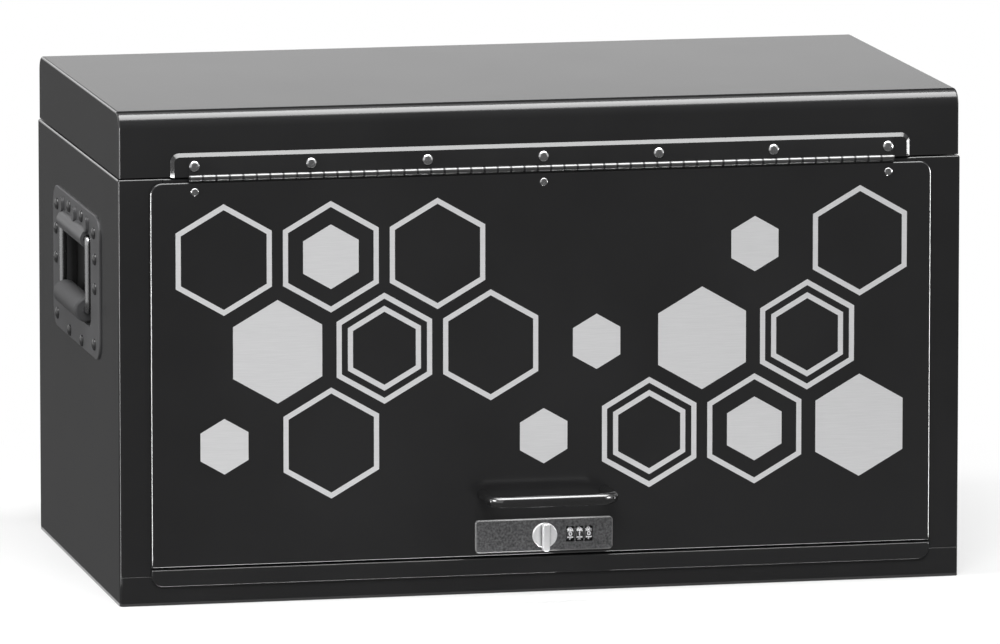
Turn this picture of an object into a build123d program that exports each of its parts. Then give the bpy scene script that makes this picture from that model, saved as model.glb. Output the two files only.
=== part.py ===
"""A steel tool chest with a lift-up lid and a hinged front cover over six drawers.

Millimetres. X runs across, Y from front to back and Z up. The origin is on the floor
under the middle of the case.
"""

from build123d import *
from math import sqrt
import os

os.makedirs("parts", exist_ok=True)

# Case and lid, outside sizes and the sheet that they are folded from
case_width = 660.0
case_depth = 360.0
case_height = 380.0
lid_height = 50.0
seam_gap = 1.0
sheet = 1.0
bend_radius = 1.5
fit_gap = 0.2
post_width = 35.0
post_return = 15.0
back_flange = 28.0
rim_flange = 12.0
rim_round = 1.6
pan_flange = 14.0

# Pressed lip of the bottom rail, which the cover closes against
rail_height = 22.5
lip_side = 24.0
lip_foot = 14.5
lip_top = 28.2
lip_corner = 9.0
lip_edge = 1.6

# Till under the lid
till_depth = 42.0
till_flange = 12.0
rail_shelf = 30.0

# Lid
lid_inset = 1.0
lid_bend = 12.0
lid_edge = 1.8
lid_flange = 10.0
pad_end = 40.5
pad_height = 18.2
pad_rise = 3.6
pad_corner = 7.0
pad_edge = 2.8

# Piano hinges: the cover's along the lid's front, the lid's along the back
hinge_end = 13.5
cover_knuckles = 53
lid_knuckles = 23
barrel_radius = 2.5
pin_radius = 1.25
pin_clearance = 0.05
barrel_clearance = 0.3
knuckle_gap = 0.35
leaf_sheet = 1.2
upper_leaf_height = 15.5
lower_leaf_height = 21.0
lid_leaf_height = 20.0
axis_drop = 0.5

# Hinge fasteners
screw_count = 7
screw_end = 4.5
screw_rise = 8.9
screw_head_radius = 4.3
screw_head_height = 2.2
screw_radius = 2.0
screw_grip = 5.0
cover_screw_count = 3
cover_screw_drop = 10.6
cover_screw_head_radius = 3.2
cover_screw_head_height = 1.2
clinch_nut_radius = 3.4
clinch_nut_height = 1.2
hinge_rivet_radius = 1.6
hinge_rivet_head_radius = 3.3
hinge_rivet_head_height = 1.4
hole_clearance = 0.1
head_bevel = 0.6

# Front cover
cover_side = 24.0
cover_sheet = 1.2
cover_lip_gap = 1.2
cover_barrel_gap = 0.8
cover_corner = 9.5
cover_edge = 1.8
cover_post_gap = 0.5

# Bow handle of the cover
bow_centres = 96.0
bow_radius = 4.5
bow_reach = 45.0
bow_bend = 13.0
bow_rise = 48.6
bow_screw_radius = 2.0
bow_screw_length = 12.0
bow_screw_end_room = 1.0
bow_screw_head_radius = 4.5
bow_screw_head_height = 2.4

# Combination lock
lock_width = 108.0
lock_height = 25.5
lock_rise = 3.0
lock_plate_sheet = 2.5
lock_corner = 3.0
lock_bevel = 0.8
body_width = 98.0
body_height = 21.0
body_depth = 6.0
wheel_radius = 6.5
wheel_width = 5.6
wheel_pitch = 7.3
wheel_offset = 20.4
wheel_count = 3
wheel_proud = 0.8
wheel_flats = 10
wheel_edge = 0.4
wheel_room = 0.6
axle_radius = 1.5
running_clearance = 0.05
lock_wall = 1.5
knob_radius = 9.7
knob_sheet = 2.8
knob_gap = 0.3
knob_bar_width = 5.4
knob_bar_height = 6.0
knob_pointer = 2.0
spindle_radius = 4.0
cam_reach = 22.0
cam_width = 11.0
cam_sheet = 2.0
nut_across = 12.0
nut_height = 3.0
stud_radius = 1.5
stud_inset = 5.0

# Side handles: pressed dish, bail and grip
dish_plate_width = 207.0
dish_plate_height = 111.5
dish_plate_corner = 17.0
dish_plate_sheet = 1.5
handle_drop = 96.3
dish_end = 35.5
dish_height = 75.0
dish_rise = 1.8
dish_depth = 12.0
dish_corner = 9.0
dish_draft = 12.0
hood_radius = 8.6
hood_sink = 3.0
hood_end = 14.0
eye_radius = 6.0
pivot_rise = 33.3
rib_foot = 5.5
rib_length = 12.5
rib_width = 10.0
rib_rise = 2.6
rib_pitch = 55.2
bail_radius = 3.0
bail_end = 10.0
bail_drop = 56.0
bail_stub = 22.0
bail_top_bend = 4.0
bail_low_bend = 7.5
bail_bore_gap = 0.3
grip_radius = 9.75
grip_end = 8.5
grip_edge = 2.5
rivet_end = 20.7
rivet_side = 16.5
rivet_top = 13.95
rivet_top_mid = 8.45
rivet_foot = 11.05
rivet_foot_mid = 5.75
rivet_side_rises = (22.1, -0.9)
rivet_radius = 2.4
rivet_head_radius = 4.6
rivet_head_height = 2.3
rivet_bevel = 1.7
rivet_tail_radius = 3.4
rivet_tail_height = 1.0

# Drawers: three small ones over three full-width ones, on channel runners
row_shares = (48.0, 48.0, 64.0, 82.0)
row_gap = 3.0
small_drawers = 3
drawer_front_setback = 17.0
drawer_back_room = 21.0
drawer_top_room = 8.0
drawer_floor_room = 3.0
drawer_lip_room = 5.3
drawer_side_room = 10.5
front_side_gap = 2.0
pull_reach = 8.5
pull_lip = 7.0
runner_height = 24.0
runner_sheet = 1.2
runner_end_room = 6.0
runner_gap = 0.4
divider_flange = 14.0

# Places worked out from the sizes above
half_width = case_width / 2
front_y = -case_depth / 2
back_y = case_depth / 2
mid_sheet = sheet / 2
lid_bottom = case_height - lid_height
rim_height = lid_bottom - seam_gap
till_floor_height = rim_height - till_depth
opening_half = half_width - post_width
support_face = opening_half + sheet
panel_back_y = back_y - sheet
lip_width = case_width - 2 * lip_side
lid_half = half_width - lid_inset
cover_width = case_width - 2 * cover_side
pad_width = case_width - 2 * pad_end
hinge_length = pad_width - 2 * hinge_end
screw_pitch = (hinge_length - 2 * screw_end) / (screw_count - 1)
lid_front_y = front_y + lid_inset
lid_back_y = back_y - lid_inset
pad_face_y = lid_front_y - pad_rise
inner_pad_edge = pad_edge - (2 - sqrt(2)) * sheet
axis_height = lid_bottom - axis_drop
cover_axis_y = pad_face_y - barrel_clearance - barrel_radius
lid_axis_y = panel_back_y + barrel_clearance + barrel_radius
leaf_face_y = pad_face_y - leaf_sheet
cover_back_y = leaf_face_y
cover_face_y = cover_back_y - cover_sheet
cover_rim_y = front_y - cover_post_gap
cover_foot = lip_top + cover_lip_gap
cover_top = axis_height - barrel_radius - cover_barrel_gap
cover_screw_height = axis_height - cover_screw_drop
screw_height = axis_height + screw_rise
bow_height = cover_foot + bow_rise
lock_z = cover_foot + lock_rise + lock_height / 2
lock_face_y = cover_face_y - lock_plate_sheet
wheel_axis_y = lock_face_y - wheel_proud + wheel_radius
body_back_y = cover_back_y + body_depth
wheel_case_back_y = wheel_axis_y + wheel_radius + wheel_room + lock_wall
cam_front_y = body_back_y + knob_gap
dish_face_x = -half_width - dish_plate_sheet
handle_height = rim_height - handle_drop
dish_width = dish_plate_width - 2 * dish_end
hood_length = dish_width - 2 * hood_end
bail_span = dish_width - 2 * bail_end
grip_length = bail_span - 2 * grip_end
dish_z = handle_height + dish_rise
pivot_z = handle_height + pivot_rise
grip_height = pivot_z - bail_drop
drawer_front_y = front_y + drawer_front_setback
drawer_depth = back_y - drawer_back_room - drawer_front_y
runner_length = drawer_depth - runner_end_room


def front_plane(y):
    """Sketch plane that faces the front at depth y, with X across and Z up."""
    return Plane.XZ.offset(-y)


def side_plane(x):
    """Sketch plane across the case at x, with Y across and Z up."""
    return Plane.YZ.offset(x)


def save(builder, name):
    """Labels a finished piece and writes it to its own file."""
    builder.part.label = name
    export_step(builder.part, f"parts/{name}.step")


def save_mirrored(builder, name):
    """Writes the piece of the other hand, mirrored about the middle of the case."""
    with BuildPart() as other:
        mirror(builder.part, about=Plane.YZ)
    save(other, name)


# Side panels: each folds round the front into a post and round the back into a flange
plate_half = dish_plate_width / 2
plate_rise = dish_plate_height / 2
rivet_offsets = [
    (plate_half - rivet_end, plate_rise - rivet_top),
    (rib_pitch / 2, plate_rise - rivet_top_mid),
    (plate_half - rivet_end, rivet_foot - plate_rise),
    (rib_pitch / 2, rivet_foot_mid - plate_rise),
] + [(plate_half - rivet_side, rise) for rise in rivet_side_rises]
rivet_places = [(hand * y, handle_height + rise) for y, rise in rivet_offsets for hand in (-1, 1)]

with BuildPart() as left_side_panel:
    with BuildSketch(Plane.XY.offset(rim_height)) as rim:
        with Locations((-half_width + rim_flange / 2, 0)):
            Rectangle(rim_flange, case_depth)
        with Locations((-half_width + post_width / 2, front_y + post_return / 2)):
            Rectangle(post_width, post_return)
        with Locations((-half_width + back_flange / 2, back_y - rim_flange / 2)):
            Rectangle(back_flange, rim_flange)
        fillet(rim.vertices().group_by(Axis.X)[0], bend_radius + mid_sheet)
    extrude(amount=-2 * sheet)
    rim_edges = left_side_panel.edges().group_by(Axis.Z)[-1]
    fillet(
        rim_edges.filter_by(
            lambda e: e.center().X < -half_width + bend_radius
            or abs(e.center().Y) > case_depth / 2 - sheet / 10
        ),
        rim_round,
    )
    with BuildSketch():
        with BuildLine():
            FilletPolyline(
                (-opening_half - mid_sheet, front_y + post_return),
                (-opening_half - mid_sheet, front_y + mid_sheet),
                (-half_width + mid_sheet, front_y + mid_sheet),
                (-half_width + mid_sheet, back_y - mid_sheet),
                (-half_width + back_flange, back_y - mid_sheet),
                radius=bend_radius,
            )
        trace(line_width=sheet)
    extrude(amount=rim_height - 2 * sheet)
    with BuildSketch(side_plane(-half_width)):
        with Locations((0, dish_z)):
            RectangleRounded(
                dish_width + 2 * fit_gap, dish_height + 2 * fit_gap, dish_corner + fit_gap
            )
        with Locations(*rivet_places):
            Circle(rivet_radius + hole_clearance)
    extrude(amount=2 * sheet, mode=Mode.SUBTRACT)
    return_room = pan_flange + fit_gap
    with Locations((-opening_half - mid_sheet, front_y + sheet + post_return / 2, return_room / 2)):
        Box(2 * sheet, post_return, return_room, mode=Mode.SUBTRACT)
save(left_side_panel, "left_side_panel")
save_mirrored(left_side_panel, "right_side_panel")

# Back panel: stands inside the side panels' flanges and folds forward into the rim
hinge_holes = [
    (screw_pitch * (i - (screw_count - 1) / 2), axis_height + side * lid_leaf_height / 2)
    for i in range(screw_count)
    for side in (-1, 1)
]
with BuildPart() as back_panel:
    with BuildSketch(Plane.YZ):
        with BuildLine():
            FilletPolyline(
                (panel_back_y - mid_sheet, 0),
                (panel_back_y - mid_sheet, rim_height - mid_sheet),
                (panel_back_y - rim_flange, rim_height - mid_sheet),
                radius=bend_radius,
            )
        trace(line_width=sheet)
    extrude(amount=half_width - sheet - bend_radius, both=True)
    corner_room = 2 * (back_flange + fit_gap)
    with Locations((-half_width, panel_back_y, rim_height), (half_width, panel_back_y, rim_height)):
        Box(corner_room, 4 * rim_flange, 2 * (bend_radius + sheet), mode=Mode.SUBTRACT)
    with BuildSketch(front_plane(panel_back_y)):
        with Locations(*[place for place in hinge_holes if place[1] < axis_height]):
            Circle(hinge_rivet_radius + hole_clearance)
    extrude(amount=2 * sheet, mode=Mode.SUBTRACT)
save(back_panel, "back_panel")

# Base pan: a floor with its four edges turned up inside the panels
pan_front_y = front_y + sheet + fit_gap
pan_back_y = panel_back_y - sheet - fit_gap
pan_width = case_width - 2 * (sheet + fit_gap)
with BuildPart() as base_pan:
    with BuildSketch():
        with Locations((0, (pan_front_y + pan_back_y) / 2)):
            RectangleRounded(pan_width, pan_back_y - pan_front_y, bend_radius + mid_sheet)
    extrude(amount=pan_flange)
    with BuildSketch(Plane.XY.offset(sheet)):
        with Locations((0, (pan_front_y + pan_back_y) / 2)):
            RectangleRounded(
                pan_width - 2 * sheet, pan_back_y - pan_front_y - 2 * sheet, bend_radius - mid_sheet
            )
    extrude(amount=pan_flange, mode=Mode.SUBTRACT)
save(base_pan, "base_pan")

# Bottom rail: lies over the feet of the posts, with the lip pressed out of it
with BuildPart() as bottom_rail:
    with BuildSketch(front_plane(front_y)):
        with Locations((0, rail_height / 2)):
            Rectangle(case_width - 2 * bend_radius, rail_height)
    extrude(amount=sheet)
    with BuildSketch(front_plane(front_y)) as lip:
        with Locations((0, (lip_foot + lip_top) / 2)):
            Rectangle(lip_width, lip_top - lip_foot)
        fillet(lip.vertices().group_by(Axis.Y)[0], lip_corner)
    extrude(amount=front_y - cover_face_y)
    fillet(bottom_rail.faces().sort_by(Axis.Y)[0].edges(), lip_edge)
    with BuildSketch(front_plane(front_y)) as hollow:
        with Locations((0, (lip_foot + lip_top) / 2)):
            Rectangle(lip_width - 2 * sheet, lip_top - lip_foot - 2 * sheet)
        fillet(hollow.vertices().group_by(Axis.Y)[0], lip_corner - sheet)
    extrude(amount=front_y - cover_face_y - sheet, mode=Mode.SUBTRACT)
save(bottom_rail, "bottom_rail")

# Top rail: a channel across the front between the posts, which carries the till floor
with BuildPart() as top_rail:
    with BuildSketch(Plane.YZ):
        with BuildLine():
            FilletPolyline(
                (front_y + rim_flange, rim_height - mid_sheet),
                (front_y + mid_sheet, rim_height - mid_sheet),
                (front_y + mid_sheet, till_floor_height - mid_sheet),
                (front_y + rail_shelf, till_floor_height - mid_sheet),
                radius=bend_radius,
            )
        trace(line_width=sheet)
    extrude(amount=opening_half - fit_gap, both=True)
save(top_rail, "top_rail")

# Till floor: a sheet on the top rail's shelf and the runner supports, with a strip along each edge
till_front_y = front_y + post_return + fit_gap
till_corner = bend_radius + mid_sheet
till_length = pan_back_y - till_front_y
till_middle = Location((0, (till_front_y + pan_back_y) / 2))
with BuildPart() as till_floor:
    with BuildSketch(Plane.XY.offset(till_floor_height)):
        with Locations(till_middle):
            RectangleRounded(pan_width, till_length, till_corner)
    extrude(amount=sheet)
save(till_floor, "till_floor")

with BuildPart() as till_edging:
    with BuildSketch(Plane.XY.offset(till_floor_height + sheet)):
        with Locations(till_middle):
            with GridLocations(0, till_length - sheet, 1, 2):
                Rectangle(pan_width - 2 * till_corner, sheet)
            with GridLocations(pan_width - sheet, 0, 2, 1):
                Rectangle(sheet, till_length - 2 * till_corner)
    extrude(amount=till_flange - sheet)
save(till_edging, "till_edging")

# Runner supports: channels from front to back that the cabinet runners are fixed to
support_front_y = pan_front_y + sheet + fit_gap
support_back_y = pan_back_y - sheet - fit_gap
with BuildPart() as runner_supports:
    with BuildSketch(front_plane(support_front_y)):
        with BuildLine():
            FilletPolyline(
                (-support_face - post_return, sheet + mid_sheet),
                (-support_face - mid_sheet, sheet + mid_sheet),
                (-support_face - mid_sheet, till_floor_height - mid_sheet),
                (-support_face - post_return, till_floor_height - mid_sheet),
                radius=bend_radius,
            )
        trace(line_width=sheet)
    extrude(amount=support_front_y - support_back_y)
    mirror(about=Plane.YZ)
save(runner_supports, "runner_supports")

# Drawer rows, from the top one down, and the cells of the small drawers
cell_width = (2 * support_face - (small_drawers - 1) * sheet) / small_drawers
cell_pitch = cell_width + sheet
row_tops = [till_floor_height - sheet - row_gap / 2]
row_room = row_tops[0] - lip_top - drawer_lip_room - row_gap * (len(row_shares) - 1)
row_heights = [row_room * share / sum(row_shares) for share in row_shares]
for height in row_heights[:-1]:
    row_tops.append(row_tops[-1] - height - row_gap)
small_front_width = 2 * (opening_half - front_side_gap - cell_pitch * (small_drawers - 1) / 2)
full_front_width = 2 * (opening_half - front_side_gap)
drawers = [
    (cell_pitch * (i - (small_drawers - 1) / 2), cell_width, small_front_width, row_tops[0], row_heights[0])
    for i in range(small_drawers)
]
for top, height in zip(row_tops[1:], row_heights[1:]):
    drawers.append((0.0, 2 * support_face, full_front_width, top, height))


def runner_height_above_floor(top, height):
    """Height of a drawer's runners: half way up its box."""
    return top - height + drawer_floor_room + (height - drawer_floor_room - drawer_top_room) / 2


# Dividers: hang from the till floor between the small drawers
with BuildPart() as drawer_dividers:
    with BuildSketch(front_plane(drawer_front_y)):
        for i in range(small_drawers - 1):
            divider_x = cell_pitch * (i - (small_drawers - 2) / 2)
            with BuildLine():
                FilletPolyline(
                    (divider_x + divider_flange, till_floor_height - mid_sheet),
                    (divider_x, till_floor_height - mid_sheet),
                    (divider_x, row_tops[0] - row_heights[0]),
                    radius=bend_radius,
                )
            trace(line_width=sheet)
    extrude(amount=drawer_front_y - support_back_y)
    shelf_room = 2 * (rail_shelf - drawer_front_setback + fit_gap)
    with Locations((0, drawer_front_y, till_floor_height)):
        Box(case_width, shelf_room, 2 * (sheet + fit_gap), mode=Mode.SUBTRACT)
save(drawer_dividers, "drawer_dividers")

# Cabinet runners: plain channels, a pair for each drawer
channel_mid = runner_sheet / 2
with BuildPart() as cabinet_runners:
    for x, cell, front_width, top, height in drawers:
        runner_z = runner_height_above_floor(top, height)
        for hand in (-1, 1):
            wall_x = x + hand * (cell / 2 - channel_mid)
            mouth_x = x + hand * (cell / 2 - drawer_side_room + runner_sheet + runner_gap)
            with BuildSketch(front_plane(drawer_front_y)):
                with BuildLine():
                    FilletPolyline(
                        (mouth_x, runner_z + runner_height / 2 - channel_mid),
                        (wall_x, runner_z + runner_height / 2 - channel_mid),
                        (wall_x, runner_z - runner_height / 2 + channel_mid),
                        (mouth_x, runner_z - runner_height / 2 + channel_mid),
                        radius=runner_sheet,
                    )
                trace(line_width=runner_sheet)
            extrude(amount=-drawer_depth)
save(cabinet_runners, "cabinet_runners")

# Drawers: an open box, a front folded forward at the top into a pull, and two runners
for number, (x, cell, front_width, top, height) in enumerate(drawers, start=1):
    box_width = cell - 2 * drawer_side_room
    box_foot = top - height + drawer_floor_room
    box_height = height - drawer_floor_room - drawer_top_room
    box_middle_y = drawer_front_y + drawer_depth / 2
    runner_z = runner_height_above_floor(top, height)
    inner_height = runner_height - 2 * runner_sheet - 2 * runner_gap

    with BuildPart() as drawer_box:
        with BuildSketch(Plane.XY.offset(box_foot)):
            with Locations((x, box_middle_y)):
                RectangleRounded(box_width, drawer_depth, bend_radius + mid_sheet)
        extrude(amount=box_height)
        with BuildSketch(Plane.XY.offset(box_foot + sheet)):
            with Locations((x, box_middle_y)):
                RectangleRounded(box_width - 2 * sheet, drawer_depth - 2 * sheet, bend_radius - mid_sheet)
        extrude(amount=box_height, mode=Mode.SUBTRACT)
    save(drawer_box, f"drawer_{number}_box")

    with BuildPart() as drawer_front:
        with BuildSketch(side_plane(x)):
            with BuildLine():
                FilletPolyline(
                    (drawer_front_y - mid_sheet, top - height),
                    (drawer_front_y - mid_sheet, top - mid_sheet),
                    (drawer_front_y - pull_reach + mid_sheet, top - mid_sheet),
                    (drawer_front_y - pull_reach + mid_sheet, top - pull_lip),
                    radius=bend_radius,
                )
            trace(line_width=sheet)
        extrude(amount=front_width / 2, both=True)
    save(drawer_front, f"drawer_{number}_front")

    with BuildPart() as drawer_runners:
        for hand in (-1, 1):
            wall_x = x + hand * (box_width / 2 + channel_mid)
            mouth_x = x + hand * (cell / 2 - runner_sheet - runner_gap)
            with BuildSketch(front_plane(drawer_front_y)):
                with BuildLine():
                    FilletPolyline(
                        (mouth_x, runner_z + inner_height / 2 - channel_mid),
                        (wall_x, runner_z + inner_height / 2 - channel_mid),
                        (wall_x, runner_z - inner_height / 2 + channel_mid),
                        (mouth_x, runner_z - inner_height / 2 + channel_mid),
                        radius=runner_sheet,
                    )
                trace(line_width=runner_sheet)
            extrude(amount=-runner_length)
    save(drawer_runners, f"drawer_{number}_runners")

# Lid: a sheet bent over the front, top and back and hemmed inwards, with a pressed cap welded on each end
lid_depth = lid_back_y - lid_front_y
screw_places = [(screw_pitch * (i - (screw_count - 1) / 2), screw_height) for i in range(screw_count)]
with BuildPart() as pad_hollow:
    with BuildSketch(front_plane(lid_front_y + sheet)) as hollow_outline:
        with Locations((0, lid_bottom + pad_height / 2)):
            Rectangle(pad_width - 2 * sheet, pad_height - 2 * sheet)
        fillet(hollow_outline.vertices().group_by(Axis.Y)[-1], pad_corner - sheet)
    extrude(amount=pad_rise)
    hollow_face = pad_hollow.faces().sort_by(Axis.Y)[0]
    chamfer(hollow_face.edges().filter_by(lambda e: e.center().Z > lid_bottom + 2 * sheet), inner_pad_edge)

with BuildPart() as whole_lid:
    with BuildSketch(Plane.YZ) as lid_section:
        with Locations((0, lid_bottom + lid_height / 2)):
            Rectangle(lid_depth, lid_height)
        fillet(lid_section.vertices().group_by(Axis.Y)[-1], lid_bend)
    extrude(amount=lid_half, both=True)
    fillet(
        whole_lid.faces().filter_by(Axis.X).edges().filter_by(lambda e: e.center().Z > lid_bottom + sheet),
        lid_edge,
    )
    with BuildSketch(Plane.YZ) as lid_hollow:
        with Locations((0, lid_bottom + lid_height / 2)):
            Rectangle(lid_depth - 2 * sheet, lid_height - 2 * sheet)
        fillet(lid_hollow.vertices().group_by(Axis.Y)[-1], lid_bend - sheet)
    extrude(amount=lid_half - sheet, both=True, mode=Mode.SUBTRACT)
    with BuildSketch(Plane.XY.offset(lid_bottom)):
        Rectangle(2 * (lid_half - lid_flange), lid_depth - 2 * lid_flange)
    extrude(amount=sheet, mode=Mode.SUBTRACT)
    with BuildSketch(front_plane(lid_front_y)) as pad:
        with Locations((0, lid_bottom + pad_height / 2)):
            Rectangle(pad_width, pad_height)
        fillet(pad.vertices().group_by(Axis.Y)[-1], pad_corner)
    extrude(amount=pad_rise)
    pad_face = whole_lid.faces().sort_by(Axis.Y)[0]
    chamfer(pad_face.edges().filter_by(lambda e: e.center().Z > lid_bottom + sheet), pad_edge)
    add(pad_hollow.part, mode=Mode.SUBTRACT)
    with BuildSketch(front_plane(pad_face_y)):
        with Locations(*screw_places):
            Circle(screw_radius + hole_clearance)
    extrude(amount=-pad_rise - sheet, mode=Mode.SUBTRACT)
    with BuildSketch(front_plane(lid_back_y)):
        with Locations(*[place for place in hinge_holes if place[1] > axis_height]):
            Circle(hinge_rivet_radius + hole_clearance)
    extrude(amount=2 * sheet, mode=Mode.SUBTRACT)
cap_seam = 2 * (lid_half - lid_flange)
with BuildPart() as lid_shell:
    add(whole_lid.part)
    Box(cap_seam, 2 * case_depth, 2 * case_height, mode=Mode.INTERSECT)
save(lid_shell, "lid_shell")

with BuildPart() as lid_ends:
    add(whole_lid.part)
    Box(cap_seam, 2 * case_depth, 2 * case_height, mode=Mode.SUBTRACT)
save(lid_ends, "lid_ends")


def hinge_leaf(axis_y, face_y, rise, knuckles, first, holes, hole_radius):
    """One leaf of a piano hinge: a strip on the face, rolled into every other knuckle."""
    facing = 1 if axis_y > face_y else -1
    pitch = hinge_length / knuckles
    notch = 2 * (barrel_radius + barrel_clearance)
    notches = [
        ((i + 0.5) * pitch - hinge_length / 2, axis_y, axis_height)
        for i in range(knuckles)
        if i % 2 != first
    ]
    with BuildPart() as leaf:
        with BuildSketch(Plane.YZ):
            with Locations((axis_y, axis_height)):
                Circle(barrel_radius)
            with Locations((face_y + facing * leaf_sheet / 2, axis_height + rise / 2)):
                Rectangle(leaf_sheet, abs(rise))
            with Locations((axis_y, axis_height)):
                Circle(pin_radius + pin_clearance, mode=Mode.SUBTRACT)
        extrude(amount=hinge_length / 2, both=True)
        with Locations(*notches):
            Box(pitch + knuckle_gap, 2 * notch, notch, mode=Mode.SUBTRACT)
        with BuildSketch(front_plane(face_y)):
            with Locations(*holes):
                Circle(hole_radius)
        extrude(amount=-facing * leaf_sheet, mode=Mode.SUBTRACT)
    return leaf


def hinge_pin(axis_y):
    """The wire that the knuckles turn on."""
    with BuildPart() as pin:
        with BuildSketch(Plane.YZ):
            with Locations((axis_y, axis_height)):
                Circle(pin_radius)
        extrude(amount=hinge_length / 2, both=True)
    return pin


def fasteners(places, seat_y, facing, head_radius, head_height, shank_radius, shank_length):
    """A row of round-headed fasteners: heads in front of seat_y if facing is -1, behind it if 1."""
    with BuildPart() as row:
        with BuildSketch(front_plane(seat_y)):
            with Locations(*places):
                Circle(head_radius)
        extrude(amount=-facing * head_height)
        outer = row.faces().sort_by(Axis.Y)[:: -facing][: len(places)]
        chamfer(outer.edges(), head_height * head_bevel)
        with BuildSketch(front_plane(seat_y)):
            with Locations(*places):
                Circle(shank_radius)
        extrude(amount=facing * shank_length)
    return row


# Cover hinge: the upper leaf is screwed on the lid's pad, the lower one behind the cover
cover_screw_pitch = screw_pitch * (screw_count - 1) / (cover_screw_count - 1)
cover_screw_places = [
    (cover_screw_pitch * (i - (cover_screw_count - 1) / 2), cover_screw_height)
    for i in range(cover_screw_count)
]
screw_hole_radius = screw_radius + hole_clearance
cover_hinge_upper_leaf = hinge_leaf(
    cover_axis_y, pad_face_y, upper_leaf_height, cover_knuckles, 0, screw_places, screw_hole_radius
)
save(cover_hinge_upper_leaf, "cover_hinge_upper_leaf")
cover_hinge_lower_leaf = hinge_leaf(
    cover_axis_y, pad_face_y, -lower_leaf_height, cover_knuckles, 1, cover_screw_places, screw_hole_radius
)
save(cover_hinge_lower_leaf, "cover_hinge_lower_leaf")
save(hinge_pin(cover_axis_y), "cover_hinge_pin")
lid_screws = fasteners(
    screw_places,
    leaf_face_y,
    -1,
    screw_head_radius,
    screw_head_height,
    screw_radius,
    leaf_sheet + sheet + screw_grip,
)
save(lid_screws, "cover_hinge_upper_screws")
cover_screws = fasteners(
    cover_screw_places,
    cover_face_y,
    -1,
    cover_screw_head_radius,
    cover_screw_head_height,
    screw_radius,
    cover_sheet + leaf_sheet + clinch_nut_height,
)
save(cover_screws, "cover_hinge_lower_screws")
with BuildPart() as cover_hinge_nuts:
    with BuildSketch(front_plane(pad_face_y)):
        with Locations(*cover_screw_places):
            Circle(clinch_nut_radius)
            Circle(screw_hole_radius, mode=Mode.SUBTRACT)
    extrude(amount=-clinch_nut_height)
save(cover_hinge_nuts, "cover_hinge_nuts")

# Lid hinge: riveted on the outside of the back panel and of the lid
lid_hinge_lower_leaf, lid_hinge_upper_leaf = (
    hinge_leaf(
        lid_axis_y,
        panel_back_y,
        side * lid_leaf_height,
        lid_knuckles,
        first,
        [place for place in hinge_holes if side * (place[1] - axis_height) > 0],
        hinge_rivet_radius + hole_clearance,
    )
    for side, first in ((-1, 0), (1, 1))
)
save(lid_hinge_lower_leaf, "lid_hinge_lower_leaf")
save(lid_hinge_upper_leaf, "lid_hinge_upper_leaf")
save(hinge_pin(lid_axis_y), "lid_hinge_pin")
for side, name in ((-1, "lid_hinge_lower_rivets"), (1, "lid_hinge_upper_rivets")):
    rivets = fasteners(
        [place for place in hinge_holes if side * (place[1] - axis_height) > 0],
        panel_back_y + leaf_sheet,
        1,
        hinge_rivet_head_radius,
        hinge_rivet_head_height,
        hinge_rivet_radius,
        leaf_sheet + 2 * sheet,
    )
    save(rivets, name)

# Front cover: a pan with its four edges folded back, open at the top for the hinge leaf
cover_middle = (cover_foot + cover_top) / 2
cover_tall = cover_top - cover_foot
bow_places = [(side * bow_centres / 2, bow_height) for side in (-1, 1)]
stud_places = [(side * (body_width / 2 - stud_inset), lock_z) for side in (-1, 1)]
wheel_xs = [wheel_offset + i * wheel_pitch for i in range(wheel_count)]
wheel_middle = (wheel_xs[0] + wheel_xs[-1]) / 2
wheel_block_width = wheel_xs[-1] - wheel_xs[0] + wheel_width + 2 * wheel_room
wheel_block_height = 2 * (wheel_radius + wheel_room)
with BuildPart() as front_cover:
    with BuildSketch(front_plane(cover_face_y)) as cover_outline:
        with Locations((0, cover_middle)):
            Rectangle(cover_width, cover_tall)
        fillet(cover_outline.vertices().group_by(Axis.Y)[-1], cover_corner)
    extrude(amount=cover_face_y - cover_rim_y)
    fillet(front_cover.faces().sort_by(Axis.Y)[0].edges(), cover_edge)
    with BuildSketch(front_plane(cover_back_y)) as cover_hollow:
        with Locations((0, cover_middle)):
            Rectangle(cover_width - 2 * cover_sheet, cover_tall - 2 * cover_sheet)
        fillet(cover_hollow.vertices().group_by(Axis.Y)[-1], cover_corner - cover_sheet)
    extrude(amount=cover_back_y - cover_rim_y, mode=Mode.SUBTRACT)
    with Locations((0, (cover_back_y + cover_rim_y) / 2, cover_top)):
        Box(
            hinge_length + 2 * barrel_clearance,
            cover_rim_y - cover_back_y,
            4 * cover_sheet,
            mode=Mode.SUBTRACT,
        )
    with BuildSketch(front_plane(cover_back_y)):
        with Locations(*cover_screw_places):
            Circle(screw_hole_radius)
        with Locations(*bow_places):
            Circle(bow_screw_radius + hole_clearance)
        with Locations(*stud_places):
            Circle(stud_radius + hole_clearance)
        with Locations((0, lock_z)):
            Circle(spindle_radius + knob_gap)
        with Locations((wheel_middle, lock_z)):
            Rectangle(wheel_block_width, wheel_block_height)
    extrude(amount=cover_sheet, mode=Mode.SUBTRACT)
save(front_cover, "front_cover")

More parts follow.
